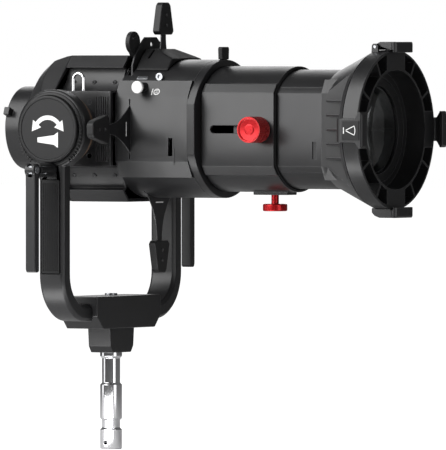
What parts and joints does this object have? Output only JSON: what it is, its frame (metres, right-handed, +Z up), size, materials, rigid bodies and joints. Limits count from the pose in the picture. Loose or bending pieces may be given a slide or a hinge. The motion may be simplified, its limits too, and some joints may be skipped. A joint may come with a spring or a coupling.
{
  "type": "ellipsoidal spotlight",
  "caption": "Ellipsoidal spotlight head with framing shutters, drop-in iris and focusing lens tube, in a tilting yoke on a spigot.",
  "frame": {"origin": "middle of the spigot's long full-diameter land", "axes": "+X the way the beam goes, +Z up along the spigot, +Y to the left of someone behind the light; the tilt axis runs along Y, 347.5 mm above the origin"},
  "size_m": [0.5542, 0.407, 0.568],
  "materials": {
    "black_powder": "satin",
    "black_anodised": "satin anodised",
    "black_moulded": "matt",
    "black_rubber": "matt",
    "chrome": "polished",
    "steel": "brushed",
    "bare_aluminium": "satin",
    "bronze": "satin",
    "friction": "matt",
    "glass": "polished",
    "white_moulded": "satin",
    "red_anodised": "satin anodised"
  },
  "bodies": {
    "yoke": {"spigot": "chrome", "receiver_block": "black_powder", "base_block": "black_powder", "base_bolt": "steel", "arm_left": "black_powder", "arm_right": "black_powder", "arm_pads": "black_rubber", "axle_bushes": "bronze", "tilt_caps": "black_moulded", "cap_badges": "black_moulded", "clamp_bosses": "black_anodised", "draw_bolts": "steel", "lever_pins": "steel"},
    "lever_left": {"lever_left": "black_powder"},
    "lever_right": {"lever_right": "black_powder"},
    "head": {"hub_left": "black_powder", "hub_right": "black_powder", "friction_discs": "friction", "axle_nuts": "steel", "housing_top": "black_powder", "housing_bottom": "black_powder", "panel_left": "black_powder", "panel_right": "black_powder", "rear_cover": "black_powder", "rear_collar": "black_powder", "panel_screws": "steel", "safety_eye": "chrome", "condenser_tube": "bare_aluminium", "condenser_lenses": "glass", "gate_barrel": "black_powder", "gate_plates": "steel", "gate_collar": "black_powder", "slot_saddle": "black_moulded", "slot_screw": "chrome", "barrel": "black_powder", "barrel_seals": "black_rubber"},
    "shutter_top": {"blade_top": "steel", "grip_top": "black_moulded"},
    "shutter_bottom": {"blade_bottom": "steel", "grip_bottom": "black_moulded"},
    "shutter_left": {"blade_left": "steel", "grip_left": "black_moulded"},
    "shutter_right": {"blade_right": "steel", "grip_right": "black_moulded"},
    "iris": {"iris_cassette": "black_anodised"},
    "iris_lever": {"iris_lever": "black_anodised"},
    "slot_plunger": {"slot_plunger": "white_moulded"},
    "barrel_latch": {"barrel_latch": "black_moulded"},
    "lens": {"lens_tube": "black_anodised", "bell": "black_powder", "lens_rings": "black_anodised", "front_lens": "glass", "rear_lens": "glass", "frame_clips": "black_powder", "angle_plate": "black_moulded", "focus_stem": "steel", "latch_pin": "steel"},
    "focus_knob": {"focus_knob": "red_anodised"},
    "frame_latch": {"frame_latch": "black_powder"},
    "thumbscrew": {"thumbscrew": "red_anodised"}
  },
  "joints": [
    {"name": "head_tilt", "type": "hinge", "parent": "yoke", "child": "head", "pos_m": [0, 0, 0.3475], "axis": [0, 1, 0], "range_deg": [-60, 50]},
    {"name": "lever_left_turn", "type": "hinge", "parent": "yoke", "child": "lever_left", "pos_m": [0, 0.195, 0.2965], "axis": [1, 0, 0], "range_deg": [0, 80]},
    {"name": "lever_right_turn", "type": "hinge", "parent": "yoke", "child": "lever_right", "pos_m": [0, -0.195, 0.2965], "axis": [-1, 0, 0], "range_deg": [0, 80]},
    {"name": "shutter_top_slide", "type": "slide", "parent": "head", "child": "shutter_top", "axis": [0, 0, 1], "range_m": [-0.012, 0.023]},
    {"name": "shutter_bottom_slide", "type": "slide", "parent": "head", "child": "shutter_bottom", "axis": [0, 0, 1], "range_m": [0, 0.045]},
    {"name": "shutter_left_slide", "type": "slide", "parent": "head", "child": "shutter_left", "axis": [0, -1, 0], "range_m": [0, 0.045]},
    {"name": "shutter_right_slide", "type": "slide", "parent": "head", "child": "shutter_right", "axis": [0, 1, 0], "range_m": [-0.005, 0.04]},
    {"name": "iris_slide", "type": "slide", "parent": "head", "child": "iris", "axis": [0, 0, 1], "range_m": [0, 0.14]},
    {"name": "iris_lever_turn", "type": "hinge", "parent": "iris", "child": "iris_lever", "pos_m": [0.0587, 0, 0.3475], "axis": [1, 0, 0], "range_deg": [-46, 4]},
    {"name": "slot_plunger_pull", "type": "slide", "parent": "head", "child": "slot_plunger", "axis": [0, -1, 0], "range_m": [0, 0.005], "stiffness_N_per_m": 400},
    {"name": "barrel_latch_pull", "type": "slide", "parent": "head", "child": "barrel_latch", "axis": [0, 0, 1], "range_m": [0, 0.006], "stiffness_N_per_m": 400},
    {"name": "focus_slide", "type": "slide", "parent": "head", "child": "lens", "axis": [1, 0, 0], "range_m": [-0.062, 0.0045]},
    {"name": "focus_knob_turn", "type": "hinge", "parent": "lens", "child": "focus_knob", "pos_m": [0.2559, -0.089, 0.3475], "axis": [0, -1, 0], "range_deg": [-180, 180]},
    {"name": "frame_latch_turn", "type": "hinge", "parent": "lens", "child": "frame_latch", "pos_m": [0.3952, 0, 0.4517], "axis": [0, -1, 0], "range_deg": [0, 70]},
    {"name": "thumbscrew_turn", "type": "hinge", "parent": "head", "child": "thumbscrew", "pos_m": [0.2404, 0, 0.2486], "axis": [0, 0, 1], "range_deg": [-180, 180]}
  ]
}
